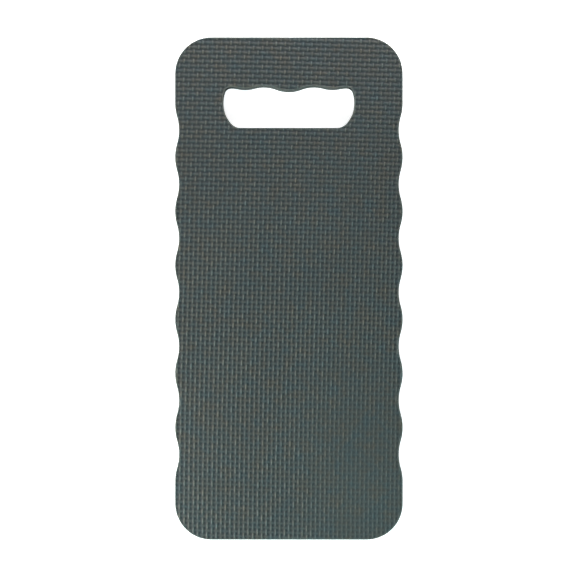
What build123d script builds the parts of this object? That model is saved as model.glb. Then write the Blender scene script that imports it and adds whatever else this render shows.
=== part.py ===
"""Garden kneeling pad: three foam plies, bonded face to face and die-cut together.

Millimetres. The origin is the centre of the underside, +Y runs towards the hand slot,
+X is to the right and +Z is up, out of the kneeling face.
"""
from build123d import *
import math
import os

# Slab
LENGTH = 400.0
CORNER_R = 29.0
PLY_T = 5.0  # one foam ply, of three
EDGE_R = 1.5  # rolled-over rim that the cutting die leaves on both faces

# Scalloped long sides
CREST_X = 90.7  # half width at a crest
HOLLOW_X = 87.6  # half width at the bottom of a hollow
HOLLOWS = 7
PITCH = 43.0
MIDDLE_HOLLOW_Y = -3.0

# Hand slot, given as its right half
SLOT_FLOOR_Y = 128.0
SLOT_ROOF_Y = 160.2  # top of the outer finger groove
SLOT_END_X = 52.3
END_R = 26.5
END_Y = 148.7  # height of the end arc's centre
FLOOR_CORNER_R = 10.0
ROOF_CORNER_R = 5.0
OUTER_BUMP = (35.0, 159.0)  # between the little and the ring finger
INNER_GROOVE = (20.2, 161.0)
MIDDLE_BUMP = (0.0, 157.3)


def ess(start, end, heading):
    """An S of two equal arcs that leaves start along heading and reaches end parallel to it."""
    middle = ((start[0] + end[0]) / 2, (start[1] + end[1]) / 2)
    first = TangentArc(start, middle, tangent=heading)
    TangentArc(middle, end, tangent=first % 1)


def corner_centre(radius, level):
    """Centre of a slot corner that lies inside the end arc and touches a level line there."""
    rise = level - END_Y
    run = math.sqrt((END_R - radius) ** 2 - rise**2)
    return (SLOT_END_X - END_R + run, level)


def touch_point(centre):
    """Where a slot corner meets the end arc: out from the arc's centre, through the corner's."""
    across = centre[0] - (SLOT_END_X - END_R)
    up = centre[1] - END_Y
    stretch = END_R / math.hypot(across, up)
    return (SLOT_END_X - END_R + across * stretch, END_Y + up * stretch)


def pad_outline():
    """Outline of the slab: straight ends, round corners and seven shallow hollows a side."""
    half_length = LENGTH / 2
    first_hollow = MIDDLE_HOLLOW_Y + (HOLLOWS - 1) / 2 * PITCH
    last_hollow = MIDDLE_HOLLOW_Y - (HOLLOWS - 1) / 2 * PITCH
    corner_x = CREST_X - CORNER_R
    corner_y = half_length - CORNER_R
    with BuildSketch() as outline:
        with BuildLine():
            Line((0, half_length), (corner_x, half_length))
            TangentArc((corner_x, half_length), (CREST_X, corner_y), tangent=(1, 0))
            Line((CREST_X, corner_y), (CREST_X, first_hollow + PITCH / 2))
            for index in range(HOLLOWS):
                y = first_hollow - index * PITCH
                ess((CREST_X, y + PITCH / 2), (HOLLOW_X, y), (0, -1))
                ess((HOLLOW_X, y), (CREST_X, y - PITCH / 2), (0, -1))
            Line((CREST_X, last_hollow - PITCH / 2), (CREST_X, -corner_y))
            TangentArc((CREST_X, -corner_y), (corner_x, -half_length), tangent=(0, -1))
            Line((corner_x, -half_length), (0, -half_length))
            mirror(about=Plane.YZ)
        make_face()
    return outline.sketch


def slot_outline():
    """Outline of the hand slot: flat floor, round ends and a roof with four finger grooves."""
    floor_corner = corner_centre(FLOOR_CORNER_R, SLOT_FLOOR_Y + FLOOR_CORNER_R)
    roof_corner = corner_centre(ROOF_CORNER_R, SLOT_ROOF_Y - ROOF_CORNER_R)
    floor_end = (floor_corner[0], SLOT_FLOOR_Y)
    roof_end = (roof_corner[0], SLOT_ROOF_Y)
    with BuildSketch() as outline:
        with BuildLine():
            Line((0, SLOT_FLOOR_Y), floor_end)
            low = TangentArc(floor_end, touch_point(floor_corner), tangent=(1, 0))
            end = TangentArc(low @ 1, touch_point(roof_corner), tangent=low % 1)
            TangentArc(end @ 1, roof_end, tangent=end % 1)
            ess(roof_end, OUTER_BUMP, (-1, 0))
            ess(OUTER_BUMP, INNER_GROOVE, (-1, 0))
            ess(INNER_GROOVE, MIDDLE_BUMP, (-1, 0))
            mirror(about=Plane.YZ)
        make_face()
    return outline.sketch


PAD = pad_outline()
SLOT = slot_outline()

os.makedirs("parts", exist_ok=True)

# The three plies, from the floor up. Each is the same die-cut shape.
with BuildPart() as bottom_ply:
    with BuildSketch(Plane.XY):
        add(PAD)
        add(SLOT, mode=Mode.SUBTRACT)
    extrude(amount=PLY_T)
    fillet(bottom_ply.faces().sort_by(Axis.Z)[0].edges(), EDGE_R)
bottom_ply.part.label = "bottom_ply"
export_step(bottom_ply.part, "parts/bottom_ply.step")

with BuildPart() as middle_ply:
    with BuildSketch(Plane.XY.offset(PLY_T)):
        add(PAD)
        add(SLOT, mode=Mode.SUBTRACT)
    extrude(amount=PLY_T)
middle_ply.part.label = "middle_ply"
export_step(middle_ply.part, "parts/middle_ply.step")

with BuildPart() as top_ply:
    with BuildSketch(Plane.XY.offset(2 * PLY_T)):
        add(PAD)
        add(SLOT, mode=Mode.SUBTRACT)
    extrude(amount=PLY_T)
    fillet(top_ply.faces().sort_by(Axis.Z)[-1].edges(), EDGE_R)
top_ply.part.label = "top_ply"
export_step(top_ply.part, "parts/top_ply.step")
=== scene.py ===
"""Looks of the foam kneeling pad: a woven emboss on both faces and die-cut foam edges.

Metres, in the CAD frame: the pad lies on the floor, +Y runs towards the hand slot, +Z is up.
"""

import math

import bpy
import numpy as np
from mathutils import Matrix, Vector
from mathutils.geometry import delaunay_2d_cdt
from mathutils.kdtree import KDTree


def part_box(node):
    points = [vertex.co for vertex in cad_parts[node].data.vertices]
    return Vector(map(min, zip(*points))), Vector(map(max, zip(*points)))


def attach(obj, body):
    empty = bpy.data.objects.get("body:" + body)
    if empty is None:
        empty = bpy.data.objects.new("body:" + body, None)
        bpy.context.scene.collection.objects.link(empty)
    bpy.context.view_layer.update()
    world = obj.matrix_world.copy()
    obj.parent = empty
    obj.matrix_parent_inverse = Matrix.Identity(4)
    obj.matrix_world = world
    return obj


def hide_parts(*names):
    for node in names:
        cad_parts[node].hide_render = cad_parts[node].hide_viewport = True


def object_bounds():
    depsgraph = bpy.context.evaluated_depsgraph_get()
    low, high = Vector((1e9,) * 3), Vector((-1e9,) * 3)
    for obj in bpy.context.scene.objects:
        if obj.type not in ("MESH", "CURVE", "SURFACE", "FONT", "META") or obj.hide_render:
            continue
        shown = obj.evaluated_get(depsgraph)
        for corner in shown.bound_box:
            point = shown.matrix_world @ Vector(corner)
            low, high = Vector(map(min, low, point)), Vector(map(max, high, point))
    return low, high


MM = 0.001

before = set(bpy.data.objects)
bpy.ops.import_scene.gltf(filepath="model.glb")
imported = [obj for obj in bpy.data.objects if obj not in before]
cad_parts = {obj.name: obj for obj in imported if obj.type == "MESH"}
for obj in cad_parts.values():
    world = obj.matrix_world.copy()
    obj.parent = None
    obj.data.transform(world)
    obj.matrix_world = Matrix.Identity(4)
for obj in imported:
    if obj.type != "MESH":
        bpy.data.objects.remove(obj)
cad_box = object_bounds()
pad_high = cad_box[1]
THICKNESS = pad_high.z
PLY_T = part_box("middle_ply")[0].z
CREST_X = pad_high.x
HALF_LENGTH = pad_high.y

# Outline, as in the CAD part
CORNER_R = 29 * MM
HOLLOW_X = 87.6 * MM
HOLLOWS = 7
PITCH = 43 * MM
MIDDLE_HOLLOW_Y = -3 * MM

# Hand slot, as in the CAD part
SLOT_FLOOR_Y = 128 * MM
SLOT_ROOF_Y = 160.2 * MM
SLOT_END_X = 52.3 * MM
END_R = 26.5 * MM
END_Y = 148.7 * MM
FLOOR_CORNER_R = 10 * MM
ROOF_CORNER_R = 5 * MM
OUTER_BUMP = (35 * MM, 159 * MM)
INNER_GROOVE = (20.2 * MM, 161 * MM)
MIDDLE_BUMP = (0, 157.3 * MM)

# Mesh
EDGE_STEP = 0.7 * MM  # between points along the outlines
ACROSS = 8  # mesh cells from one upright strand to the next
ALONG = 6  # and from one level strand to the next
GRID_GAP = 0.4 * MM  # between the rim's last ring and the strand-aligned grid
SHARP_ANGLE = math.radians(62)  # faces that meet more steeply than this show a crisp edge

# Emboss: upright strands run along Y, level strands along X
UPRIGHT_PITCH = 3.57 * MM
LEVEL_PITCH = 3.73 * MM
UPRIGHT_HALF = 0.15  # half widths, as a share of the pitch
LEVEL_HALF = 0.23
LEVEL_SHIFT = 0.13  # the level strands pass over this far to the right, as a share of the pitch
LEVEL_SLANT = 0.1  # and swing this far down to the right of each pass
OVER = 0.6  # share of the height that a strand gains where it passes over
LEVEL_TOP = 0.52  # and how much of that the level strands gain
BULGE_POWER = 4  # how flat the strands are on top
PIT_POWER = 0.8  # how wide the pits between them are

# The emboss changes along the pad: columns stand out at the plain end, rows at the slot end
PLAIN_END_FADE = 120 * MM  # how far from the middle each end's look is complete
SLOT_END_FADE = 140 * MM
COLUMNS_STAND = 0.8  # how much further each upright pass reaches at the plain end
LEVELS_SINK = 0.3  # how much lower the level strands lie there
ROWS_STAND = 0.55  # how much further each level pass reaches at the slot end
UPRIGHTS_SHRINK = 0.3  # how much shorter each upright pass is there

UNEVEN_HEIGHT = 0.15  # spread of the strands' heights
UNEVEN_PLACE = 0.035  # spread of their sideways places, as a share of the pitch
CHANCES = 160  # passes along and across before the strands' unevenness repeats
RELIEF = 1.0 * MM  # from the pits to the top of the upright strands

# The strands' paths over the face
BEND_FROM_Y = -60 * MM  # nearer the plain end than this, the upright strands bend
WANDER = 0.25 * MM  # how far the rows wander up and down
WANDER_ACROSS = 34 * MM  # over these distances
WANDER_UP = 80 * MM

# Wear: the share of the emboss that use has flattened
MIDDLE_RELIEF = 0.5  # the height that it is flattened towards
WORN_RIGHT = 0.12
WORN_PLAIN_END = 0.14
WORN_RIGHT_CORNER = 0.26  # more of it where both come together

# The face between the strands: rolled down at the edge, a faint fold, and shallow waves
ROLL_DROP = 0.35 * MM
ROLL_WIDTH = 5 * MM
CREASE_Y = -158 * MM
CREASE_SLOPE = -0.012
CREASE_DEPTH = 0.22 * MM
CREASE_HALF = 1.3 * MM
WAVE_HEIGHT = 0.05 * MM

# Die-cut edge
RIM_R = 1.4 * MM
RIM_HIGHLIGHT_RELIEF = 1.0  # the rim is pressed smooth, and painted as pale as the strand tops: a painted highlight
RIM_KEEPS = 0.45  # share of the face's shape that the rim still has
RIM_ANGLES = [0, 25, 50, 75, 90]  # degrees of the rim's quarter turn at its rings
WOVEN_FROM = 0.4 * MM  # the emboss sets in over this stretch of inset
WOVEN_FULL = 1.6 * MM
WAIST = 0.35 * MM  # how far the cut side is drawn in at half height
SEAM_DEPTH = 0.28 * MM
SEAM_HALF = 0.3 * MM
LAST_RING = 2.0 * MM  # inset of the innermost ring of the rim
FACE_PLY_LEVELS = [0, 0.03, 0.09, 0.22, 0.42, 0.62]  # the cut side's rings, as shares of a ply
CORE_PLY_LEVELS = [0, 0.03, 0.09, 0.3, 0.5, 0.7, 0.91, 0.97, 1]


def smoothstep(low, high, x):
    t = np.clip((x - low) / (high - low), 0, 1)
    return t * t * (3 - 2 * t)


# ---------------------------------------------------------------- outlines


def tangent_path(start, heading, ends):
    """Fine points along arcs, or lines, that each leave the last one smoothly and reach an end."""
    here, along = np.array(start, float), np.array(heading, float)
    points = [here[None]]
    for end in ends:
        chord = np.array(end, float) - here
        left = np.array([-along[1], along[0]])
        turn = 2 * math.atan2(chord @ left, chord @ along)
        t = np.linspace(0, 1, 60)[1:, None]
        if abs(turn) < 1e-6:
            points.append(here + chord * t)
        else:
            radius = np.hypot(*chord) / (2 * math.sin(turn / 2))
            swept = along * np.sin(turn * t) + left * (1 - np.cos(turn * t))
            points.append(here + radius * swept)
            along = along * math.cos(turn) + left * math.sin(turn)
        here = np.array(end, float)
    return np.concatenate(points)


def ess(start, end):
    """The two ends of the arcs that make an S from start to end."""
    return [((start[0] + end[0]) / 2, (start[1] + end[1]) / 2), end]


def closed_even(half):
    """A right half mirrored into a closed loop of evenly spaced points."""
    loop = np.concatenate([half, half[-2:0:-1] * (-1, 1)])
    ring = np.concatenate([loop, loop[:1]])
    length = np.concatenate([[0], np.cumsum(np.hypot(*np.diff(ring, axis=0).T))])
    count = round(length[-1] / EDGE_STEP)
    at = np.arange(count) * length[-1] / count
    return np.stack([np.interp(at, length, ring[:, 0]), np.interp(at, length, ring[:, 1])], 1)


def pad_loop():
    """The slab's outline, with the foam on the right of the way it runs."""
    corner_x, corner_y = CREST_X - CORNER_R, HALF_LENGTH - CORNER_R
    ends = [(corner_x, HALF_LENGTH), (CREST_X, corner_y)]
    for index in range(HOLLOWS):
        y = MIDDLE_HOLLOW_Y + ((HOLLOWS - 1) / 2 - index) * PITCH
        above, below = (CREST_X, y + PITCH / 2), (CREST_X, y - PITCH / 2)
        if index == 0:
            ends.append(above)
        ends += ess(above, (HOLLOW_X, y)) + ess((HOLLOW_X, y), below)
    ends += [(CREST_X, -corner_y), (corner_x, -HALF_LENGTH), (0, -HALF_LENGTH)]
    return closed_even(tangent_path((0, HALF_LENGTH), (1, 0), ends))


def slot_corner(radius, level):
    """A slot corner inside the end arc: its centre's x, and where it meets the arc."""
    rise = level - END_Y
    run = math.sqrt((END_R - radius) ** 2 - rise**2)
    stretch = END_R / (END_R - radius)
    centre_x = SLOT_END_X - END_R
    return centre_x + run, (centre_x + run * stretch, END_Y + rise * stretch)


def slot_loop():
    """The hand slot's outline, also with the foam on the right."""
    floor_x, low = slot_corner(FLOOR_CORNER_R, SLOT_FLOOR_Y + FLOOR_CORNER_R)
    roof_x, high = slot_corner(ROOF_CORNER_R, SLOT_ROOF_Y - ROOF_CORNER_R)
    roof = (roof_x, SLOT_ROOF_Y)
    ends = [(floor_x, SLOT_FLOOR_Y), low, high, roof]
    ends += ess(roof, OUTER_BUMP) + ess(OUTER_BUMP, INNER_GROOVE) + ess(INNER_GROOVE, MIDDLE_BUMP)
    return closed_even(tangent_path((0, SLOT_FLOOR_Y), (1, 0), ends))


class Edge:
    """Both outlines as one list of points, with the way into the foam at each of them."""

    def __init__(self):
        loops = [pad_loop(), slot_loop()]
        self.points = np.concatenate(loops)
        self.inward = np.concatenate([self.into_foam(loop) for loop in loops])
        first = len(loops[0])
        self.after = np.arange(1, len(self.points) + 1)
        self.after[first - 1] = 0
        self.after[-1] = first
        self.tree = KDTree(len(self.points))
        for index, (x, y) in enumerate(self.points):
            self.tree.insert((x, y, 0), index)
        self.tree.balance()

    @staticmethod
    def into_foam(loop):
        along = np.roll(loop, -1, 0) - np.roll(loop, 1, 0)
        along /= np.hypot(*along.T)[:, None]
        return np.stack([along[:, 1], -along[:, 0]], 1)

    def ring(self, inset):
        return self.points + self.inward * inset

    def depth(self, points):
        """How far each point lies inside the foam, and below 0 outside it."""
        nearest = np.array([self.tree.find((x, y, 0))[1] for x, y in points])
        away = points - self.points[nearest]
        return np.einsum("ij,ij->i", away, self.inward[nearest])


# ---------------------------------------------------------------- emboss


class Weave:
    """The emboss on one face: where its strands run, and how high it stands."""

    def __init__(self, lean, bend, widen, seed):
        self.lean = lean  # how far the upright strands lean to the right, per metre up
        self.bend = bend  # how fast they bend towards the plain end
        self.widen = widen  # the upright strands lie further apart on the left
        self.uneven = np.random.default_rng(seed).normal(0, 1, (4, CHANCES, CHANCES)).clip(-2, 2)

    def place(self, u, v):
        """The point on the face at strand coordinates u, v."""
        across, up = u * UPRIGHT_PITCH, v * LEVEL_PITCH
        low = np.minimum(up - BEND_FROM_Y, 0)
        x = across * (1 - self.widen * across) + self.lean * up + self.bend * low**2
        wander = WANDER * np.sin(across / WANDER_ACROSS + up / WANDER_UP)
        y = up - self.lean * across + wander
        return np.stack([x, y], -1)

    def strands(self, points):
        """Strand coordinates of points on the face: place() undone, by closing in on them."""
        u, v = points[:, 0] / UPRIGHT_PITCH, points[:, 1] / LEVEL_PITCH
        for _ in range(8):
            miss = points - self.place(u, v)
            u, v = u + miss[:, 0] / UPRIGHT_PITCH, v + miss[:, 1] / LEVEL_PITCH
        return u, v

    def height(self, u, v):
        """Height of the emboss: 0 in the pits, 1 on the highest strands."""
        column, row = np.rint(u), np.rint(v)
        slot_end = smoothstep(0, SLOT_END_FADE, v * LEVEL_PITCH)
        plain_end = smoothstep(0, PLAIN_END_FADE, -v * LEVEL_PITCH)
        between_columns = np.sin(np.pi * (u - column)) ** 2
        between_columns += ROWS_STAND * slot_end * (1 - between_columns)
        pits = between_columns * np.sin(np.pi * (v - row)) ** 2

        along = v + column
        taller, aside = self.chance(column, along, 0)
        upright = self.bulge(u - column + aside, UPRIGHT_HALF) * taller
        reach = COLUMNS_STAND * plain_end - UPRIGHTS_SHRINK * slot_end
        upright = upright * smoothstep(-0.55 - reach, 0.55, np.cos(np.pi * along))

        along = u + row + 1 - LEVEL_SHIFT
        taller, aside = self.chance(row, along, 2)
        swing = LEVEL_SLANT * np.sin(np.pi * along)
        level = self.bulge(v - row + swing + aside, LEVEL_HALF) * taller
        level = level * smoothstep(-0.4 - ROWS_STAND * slot_end, 1.0, np.cos(np.pi * along))

        over = np.maximum(upright, LEVEL_TOP * (1 - LEVELS_SINK * plain_end) * level)
        return np.minimum((1 - OVER) * (1 - pits**PIT_POWER) + OVER * over, 1)

    def chance(self, strand, along, layer):
        """How tall a strand is, and how far aside it lies, at its nearest pass over another."""
        number = strand.astype(int) % CHANCES, np.rint(along / 2).astype(int) % CHANCES
        height, place = self.uneven[layer][number], self.uneven[layer + 1][number]
        return 1 - UNEVEN_HEIGHT * (1 - height), UNEVEN_PLACE * place

    @staticmethod
    def bulge(off, half):
        """A strand's height at this far from its middle line."""
        return 1 / (1 + (off / half) ** BULGE_POWER)


def pressed(points, relief):
    """The emboss flattened by use, most of all at the right of the plain end."""
    x, y = points.T / MM
    right, plain_end = smoothstep(-20, 60, x), smoothstep(20, 130, -y)
    flat = right * (WORN_RIGHT + WORN_RIGHT_CORNER * plain_end) + WORN_PLAIN_END * plain_end
    return MIDDLE_RELIEF + (relief - MIDDLE_RELIEF) * (1 - flat)


def crease(points):
    """A faint fold across the pad near its plain end."""
    line = CREASE_Y + CREASE_SLOPE * points[:, 0]
    return CREASE_DEPTH * np.exp(-(((points[:, 1] - line) / CREASE_HALF) ** 2))


def face_drop(points, depth):
    """How far the face lies below its highest plane, without the emboss."""
    rolled = ROLL_DROP * np.clip(1 - depth / ROLL_WIDTH, 0, 1) ** 2
    x, y = points.T / MM
    long_waves = np.sin(x / 31 + 0.7) * np.sin(y / 47 + 0.4)
    short_waves = 0.6 * np.sin(x / 17 - y / 23)
    return rolled + crease(points) + WAVE_HEIGHT * (1.6 + (long_waves + short_waves))


# ---------------------------------------------------------------- meshes


def side_inset(z):
    """How far the cut side is drawn in at a height above the floor."""
    waist = WAIST * (1 - (2 * z / THICKNESS - 1) ** 2)
    seams = sum(math.exp(-(((z - seam) / SEAM_HALF) ** 2)) for seam in (PLY_T, 2 * PLY_T))
    return waist + SEAM_DEPTH * seams


class Build:
    """Collects points and faces, and turns them into a mesh object."""

    def __init__(self, edge):
        self.edge = edge
        self.points, self.relief, self.cut, self.faces = [], [], [], []
        self.count = 0

    def add_points(self, points, z, relief, cut):
        first = self.count
        self.points.append(np.column_stack([points, np.broadcast_to(z, len(points))]))
        self.relief.append(np.broadcast_to(relief, len(points)))
        self.cut.append(np.broadcast_to(cut, len(points)))
        self.count += len(points)
        return first

    def band(self, lower, upper):
        """Quads between two rings, given by their first points."""
        here = np.arange(len(self.edge.points))
        there = self.edge.after
        self.faces.append(np.stack([lower + here, upper + here, upper + there, lower + there], 1))

    def fill(self, first, upward):
        """A flat face across a ring, open at the slot."""
        ring = np.concatenate(self.points)[first : first + len(self.edge.points), :2]
        chains = np.stack([np.arange(len(ring)), self.edge.after], 1)
        triangles = triangulate(ring, chains)
        middle = ring[triangles].mean(1)
        inside = self.edge.depth(middle) > 0
        triangles = triangles[inside] + first
        self.faces.append(triangles if upward else triangles[:, ::-1])

    def object(self, name, turned=False):
        points = np.concatenate(self.points)
        if turned:  # half a turn about the pad's long axis, to face the floor
            points = points * (-1, 1, -1) + (0, 0, THICKNESS)
        mesh = bpy.data.meshes.new(name)
        corners = np.concatenate([f.ravel() for f in self.faces])
        sizes = np.concatenate([np.full(len(f), f.shape[1]) for f in self.faces])
        starts = np.concatenate([[0], np.cumsum(sizes)[:-1]])
        mesh.vertices.add(len(points))
        mesh.vertices.foreach_set("co", points.astype(np.float32).ravel())
        mesh.loops.add(len(corners))
        mesh.loops.foreach_set("vertex_index", corners.astype(np.int32))
        mesh.polygons.add(len(sizes))
        mesh.polygons.foreach_set("loop_start", starts.astype(np.int32))
        mesh.polygons.foreach_set("use_smooth", np.ones(len(sizes), bool))
        for label, values in (("relief", self.relief), ("cut", self.cut)):
            layer = mesh.attributes.new(label, "FLOAT", "POINT")
            layer.data.foreach_set("value", np.concatenate(values).astype(np.float32))
        mesh.update()
        mesh.validate()
        mesh.set_sharp_from_angle(angle=SHARP_ANGLE)
        piece = bpy.data.objects.new(name, mesh)
        bpy.context.scene.collection.objects.link(piece)
        return piece


def triangulate(points, chains):
    """Triangles between points that keep to the given chains of edges."""
    scale = 1 / MM
    flat = [Vector((x * scale, y * scale)) for x, y in points]
    made = delaunay_2d_cdt(flat, chains.tolist(), [], 0, 1e-7)
    source = np.array([o[0] if o else -1 for o in made[3]])
    triangles = source[np.array(made[2])]
    return triangles[(triangles >= 0).all(1)]


def lattice(weave, edge):
    """The part of the strand-aligned grid that lies inside the rim, and its outer chain."""
    spare_across, spare_up = 1.2, 1.05  # the strands lean and spread, so more of them are laid
    columns = int(CREST_X / UPRIGHT_PITCH * spare_across) + 2
    rows = int(HALF_LENGTH / LEVEL_PITCH * spare_up) + 2
    u = np.arange(-columns * ACROSS, columns * ACROSS + 1) / ACROSS
    v = np.arange(-rows * ALONG, rows * ALONG + 1) / ALONG
    grid_u, grid_v = np.meshgrid(u, v, indexing="ij")
    points = weave.place(grid_u, grid_v)
    near = (np.abs(points[..., 0]) < CREST_X) & (np.abs(points[..., 1]) < HALF_LENGTH)
    depth = np.full(grid_u.shape, -1.0)
    depth[near] = edge.depth(points[near])
    inside = depth > LAST_RING + GRID_GAP
    cells = inside[:-1, :-1] & inside[1:, :-1] & inside[1:, 1:] & inside[:-1, 1:]
    used = np.zeros(inside.shape, bool)
    for i, j in ((0, 0), (1, 0), (1, 1), (0, 1)):
        used[i : i + cells.shape[0], j : j + cells.shape[1]] |= cells
    number = np.full(inside.shape, -1)
    number[used] = np.arange(used.sum())
    corners = [number[:-1, :-1], number[1:, :-1], number[1:, 1:], number[:-1, 1:]]
    quads = np.stack([c[cells] for c in corners], 1)
    padded = np.pad(cells, 1)
    upright = padded[:-1, 1:-1] != padded[1:, 1:-1]
    level = padded[1:-1, :-1] != padded[1:-1, 1:]
    chain = np.concatenate(
        [
            np.stack([number[:, :-1][upright], number[:, 1:][upright]], 1),
            np.stack([number[:-1, :][level], number[1:, :][level]], 1),
        ]
    )
    return {
        "points": points[used],
        "strands": (grid_u[used], grid_v[used]),
        "depth": depth[used],
        "quads": quads,
        "chain": chain,
        "cells": cells,
        "origin": (u[0], v[0]),
    }


def rim_rings():
    """Up the cut side and over the rim: each ring's inset, height, and how far it faces up."""
    heights = THICKNESS - PLY_T + PLY_T * np.array(FACE_PLY_LEVELS)
    rings = [(side_inset(z), z, 0.0) for z in heights]
    shoulder = THICKNESS - RIM_R
    for angle in np.radians(RIM_ANGLES):
        inset = side_inset(shoulder) * (1 - math.sin(angle)) + RIM_R * (1 - math.cos(angle))
        rings.append((inset, shoulder + RIM_R * math.sin(angle), math.sin(angle)))
    flat_insets = np.linspace(RIM_R, LAST_RING, 4)[1:]
    return rings + [(inset, THICKNESS, 1.0) for inset in flat_insets]


def joining_triangles(weave, edge, grid):
    """Triangles from the last ring of the rim to the grid, and the grid points they use.

    The triangles count through the ring's points first, and then through those grid points.
    """
    rim = np.arange(len(edge.points))
    stairs = np.unique(grid["chain"])
    renumber = np.full(len(grid["points"]), -1)
    renumber[stairs] = np.arange(len(stairs)) + len(rim)
    chains = np.concatenate([np.stack([rim, edge.after], 1), renumber[grid["chain"]]])
    flat = np.concatenate([edge.ring(LAST_RING), grid["points"][stairs]])
    triangles = triangulate(flat, chains)

    middle = flat[triangles].mean(1)
    u, v = weave.strands(middle)
    column = np.floor((u - grid["origin"][0]) * ACROSS).astype(int)
    row = np.floor((v - grid["origin"][1]) * ALONG).astype(int)
    columns, rows = grid["cells"].shape
    in_grid = grid["cells"][np.clip(column, 0, columns - 1), np.clip(row, 0, rows - 1)]
    keep = ~in_grid & (edge.depth(middle) > LAST_RING)
    return triangles[keep], stairs


def embossed_ply(name, weave, edge, turned=False):
    """One face ply, made face up: cut side, rim, and the woven face."""
    build = Build(edge)
    firsts = []
    for inset, z, facing in rim_rings():
        points = edge.ring(inset)
        relief = pressed(points, weave.height(*weave.strands(points)))
        woven = float(smoothstep(WOVEN_FROM, WOVEN_FULL, inset))
        share = facing * (RIM_KEEPS + (1 - RIM_KEEPS) * woven)
        drop = (face_drop(points, np.full(len(points), inset)) + RELIEF * (1 - relief)) * share
        # The rim takes the strand tops' relief value, and with it their painted highlight
        relief = RIM_HIGHLIGHT_RELIEF + (relief - RIM_HIGHLIGHT_RELIEF) * woven
        firsts.append(build.add_points(points, z - drop, relief, 1 - facing))
    for lower, upper in zip(firsts, firsts[1:]):
        build.band(lower, upper)

    grid = lattice(weave, edge)
    relief = pressed(grid["points"], weave.height(*grid["strands"]))
    z = THICKNESS - face_drop(grid["points"], grid["depth"]) - RELIEF * (1 - relief)
    first = build.add_points(grid["points"], z, relief, 0.0)
    build.faces.append(grid["quads"] + first)

    triangles, stairs = joining_triangles(weave, edge, grid)
    rim = np.arange(len(edge.points))
    whole = np.concatenate([rim + firsts[-1], stairs + first])
    build.faces.append(whole[triangles])

    build.fill(firsts[0], upward=False)
    return build.object(name, turned)


def plain_ply(name, edge):
    """The middle ply: only its cut side shows."""
    build = Build(edge)
    heights = PLY_T + PLY_T * np.array(CORE_PLY_LEVELS)
    firsts = [build.add_points(edge.ring(side_inset(z)), z, 0.0, 1.0) for z in heights]
    for lower, upper in zip(firsts, firsts[1:]):
        build.band(lower, upper)
    build.fill(firsts[0], upward=False)
    build.fill(firsts[-1], upward=True)
    return build.object(name)


# ---------------------------------------------------------------- materials

# The skin's colours run from painted shade in the pits to a painted highlight on the strand tops
PIT_PAINTED_SHADE = (0.0135, 0.0175, 0.0195, 1)
STRAND_TOP_PAINTED_HIGHLIGHT = (0.079, 0.0885, 0.0795, 1)
COOL_TINT = (0.79, 1.01, 1.13, 1)
WARM_TINT = (1.21, 0.99, 0.86, 1)
CELL_WALL = (0.054, 0.066, 0.062, 1)
# Painted shade in the hollows of the cut cells
CELL_HOLLOW_PAINTED_SHADE = (0.03, 0.038, 0.036, 1)


class Nodes:
    """Short ways to add and join shader nodes."""

    def __init__(self, name):
        self.material = bpy.data.materials.new(name)
        self.material.use_nodes = True
        self.tree = self.material.node_tree
        self.shader = self.tree.nodes["Principled BSDF"]

    def add(self, kind, inputs=(), **settings):
        node = self.tree.nodes.new("ShaderNode" + kind)
        for key, value in settings.items():
            setattr(node, key, value)
        for key, value in dict(inputs).items():
            self.put(value, node.inputs[key])
        return node

    def put(self, value, socket):
        if isinstance(value, bpy.types.NodeSocket):
            self.tree.links.new(value, socket)
        else:
            socket.default_value = value

    def math(self, operation, a, b):
        return self.add("Math", {0: a, 1: b}, operation=operation).outputs[0]

    def mix(self, share, a, b, blend="MIX"):
        """A mix of two colours, whose sockets come after those for numbers and vectors."""
        inputs = {0: share, 6: a, 7: b}
        return self.add("Mix", inputs, data_type="RGBA", blend_type=blend).outputs[2]

    def noise(self, where, scale, **inputs):
        return self.add("TexNoise", {"Vector": where, "Scale": scale, **inputs}).outputs["Fac"]

    def bump(self, height, distance, strength, **inputs):
        inputs = {"Height": height, "Distance": distance, "Strength": strength, **inputs}
        return self.add("Bump", inputs).outputs[0]

    def span(self, value, low, high, to_low, to_high):
        """A value stretched from one range to another, and kept inside it."""
        inputs = {0: value, 1: low, 2: high, 3: to_low, 4: to_high}
        return self.add("MapRange", inputs).outputs[0]


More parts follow.
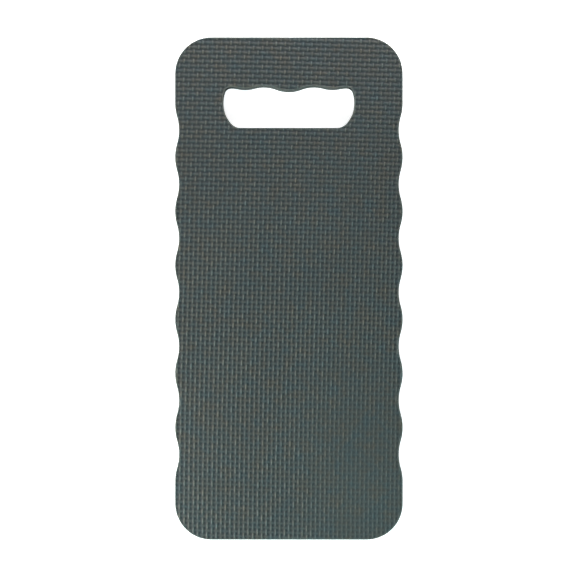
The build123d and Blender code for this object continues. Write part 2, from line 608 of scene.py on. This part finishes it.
def foam_material(name):
    """Closed-cell foam: a pressed skin on the emboss, with painted shade in its pits and a painted
    highlight on its strand tops, and open cells where the die cut it, with painted shade in their
    hollows.
    """
    n = Nodes(name)
    where = n.add("TexCoord").outputs["Object"]
    relief = n.add("Attribute", attribute_name="relief").outputs["Fac"]
    cut = n.add("Attribute", attribute_name="cut").outputs["Fac"]

    clouds = n.noise(where, 16.0, Detail=3.0)
    mottle = n.noise(where, 110.0, Detail=4.0, Roughness=0.7)
    grain = n.noise(where, 1500.0, Detail=2.0)
    cells = n.add("TexVoronoi", {"Vector": where, "Scale": 2200.0}).outputs["Distance"]

    # Painted shade in the pits and a painted highlight on the strand tops, set by the relief
    # attribute
    skin = n.mix(n.math("POWER", relief, 1.7), PIT_PAINTED_SHADE, STRAND_TOP_PAINTED_HIGHLIGHT)
    tint = n.mix(n.span(mottle, 0.33, 0.67, 0.0, 1.0), COOL_TINT, WARM_TINT)
    skin = n.mix(1.0, skin, tint, "MULTIPLY")
    # The cut cells are darker where their pore bump is lowest: painted shade in the hollows
    walls = n.mix(n.span(cells, 0.1, 0.6, 0.0, 1.0), CELL_WALL, CELL_HOLLOW_PAINTED_SHADE)
    shade = n.span(clouds, 0.25, 0.75, 0.93, 1.07)
    grey = n.add("CombineColor", {0: shade, 1: shade, 2: shade}).outputs[0]
    colour = n.mix(1.0, n.mix(cut, skin, walls), grey, "MULTIPLY")
    n.put(colour, n.shader.inputs["Base Color"])

    skin_rough = n.span(relief, 0.0, 1.0, 0.78, 0.52)
    uneven_rough = n.math("ADD", skin_rough, n.span(grain, 0.3, 0.7, -0.05, 0.05))
    rough = n.math("ADD", uneven_rough, n.math("MULTIPLY", cut, 0.25))
    n.put(rough, n.shader.inputs["Roughness"])
    n.shader.inputs["Specular IOR Level"].default_value = 0.35

    fine = n.bump(grain, 0.06 * MM, 0.6)
    pores = n.math("MULTIPLY", n.span(cells, 0.0, 0.6, 1.0, 0.0), cut)
    rough_cut = n.bump(pores, 0.18 * MM, 0.8, Normal=fine)
    n.put(rough_cut, n.shader.inputs["Normal"])
    return n.material


def stage_material(name, reflects, glows):
    """Plain white, partly by its own glow, so that the pad's shadow hardly shows."""
    n = Nodes(name)
    n.shader.inputs["Base Color"].default_value = (reflects, reflects, reflects, 1)
    n.shader.inputs["Emission Color"].default_value = (1, 1, 1, 1)
    n.shader.inputs["Emission Strength"].default_value = glows
    n.shader.inputs["Roughness"].default_value = 0.9
    n.shader.inputs["Specular IOR Level"].default_value = 0.0
    return n.material


# ---------------------------------------------------------------- studio


def camera():
    """Straight down on the pad, as high as the slot's far wall just shows."""
    height, view_width = 1.4, 0.461
    data = bpy.data.cameras.new("camera")
    data.sensor_width = 36
    data.lens = data.sensor_width * height / view_width
    data.clip_end = 10
    eye = bpy.data.objects.new("camera", data)
    eye.location = (0.9 * MM, -1.2 * MM, height + THICKNESS)
    bpy.context.scene.collection.objects.link(eye)
    bpy.context.scene.camera = eye


def area_light(name, place, size, power, colour=(1, 1, 1)):
    data = bpy.data.lights.new(name, "AREA")
    data.shape = "RECTANGLE"
    data.size, data.size_y = size
    data.energy = power
    data.color = colour
    lamp = bpy.data.objects.new(name, data)
    lamp.location = place
    lamp.rotation_euler = (-Vector(place)).to_track_quat("-Z", "Y").to_euler()
    lamp.visible_camera = False
    bpy.context.scene.collection.objects.link(lamp)


def stage_piece(name, points, faces, material):
    mesh = bpy.data.meshes.new(name)
    mesh.from_pydata(points, [], faces)
    mesh.materials.append(material)
    piece = bpy.data.objects.new(name, mesh)
    bpy.context.scene.collection.objects.link(piece)
    return piece


def floor(reach):
    corners = [(-reach, -reach, 0), (reach, -reach, 0), (reach, reach, 0), (-reach, reach, 0)]
    white = stage_material("floor", reflects=0.9, glows=0.8)
    stage_piece("floor", corners, [(0, 1, 2, 3)], white)


def backdrop(radius):
    """A white wall round the floor, seen by the camera only, so that it lights nothing."""
    sides = 48
    turns = [2 * math.pi * index / sides for index in range(sides)]
    ring = [(radius * math.cos(a), radius * math.sin(a)) for a in turns]
    points = [(x, y, z) for z in (-1 * MM, radius) for x, y in ring]
    faces = [(i, (i + 1) % sides, sides + (i + 1) % sides, sides + i) for i in range(sides)]
    white = stage_material("backdrop", reflects=0.0, glows=1.0)
    wall = stage_piece("backdrop", points, faces, white)
    wall.visible_diffuse = False
    wall.visible_glossy = False
    wall.visible_shadow = False


def studio():
    """A white floor and surround, a low warm key light at the left, and a lamp at each end."""
    reach = 6
    floor(reach)
    backdrop(reach)
    world = bpy.data.worlds.new("surround")
    world.use_nodes = True
    surround = world.node_tree.nodes["Background"].inputs
    surround["Color"].default_value = (1, 1, 1, 1)
    surround["Strength"].default_value = 0.35
    bpy.context.scene.world = world
    bpy.context.scene.view_settings.view_transform = "Standard"
    area_light("key", (-0.5, -0.26, 0.24), (0.4, 0.2), 5.3, (1, 0.97, 0.92))
    area_light("far", (0.05, 0.62, 0.2), (0.5, 0.12), 6, (0.98, 0.98, 1))
    area_light("near", (0.0, -0.5, 0.6), (0.5, 0.3), 3.5, (0.55, 1, 1))


# ---------------------------------------------------------------- the pad

camera()
studio()

edge = Edge()
top_weave = Weave(lean=0.0227, bend=0.056, widen=0.22, seed=4)
under_weave = Weave(lean=-0.012, bend=0.03, widen=-0.1, seed=9)
face_foam = foam_material("face_foam")
core_foam = foam_material("core_foam")

top_foam = embossed_ply("top_foam", top_weave, edge)
middle_foam = plain_ply("middle_foam", edge)
bottom_foam = embossed_ply("bottom_foam", under_weave, edge, turned=True)
pieces = [
    (top_foam, "top_ply", "face_foam", face_foam),
    (middle_foam, "middle_ply", "core_foam", core_foam),
    (bottom_foam, "bottom_ply", "face_foam", face_foam),
]
for piece, node, slot, material in pieces:
    piece.data.materials.append(material)
    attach(piece, "root")
    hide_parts(node)
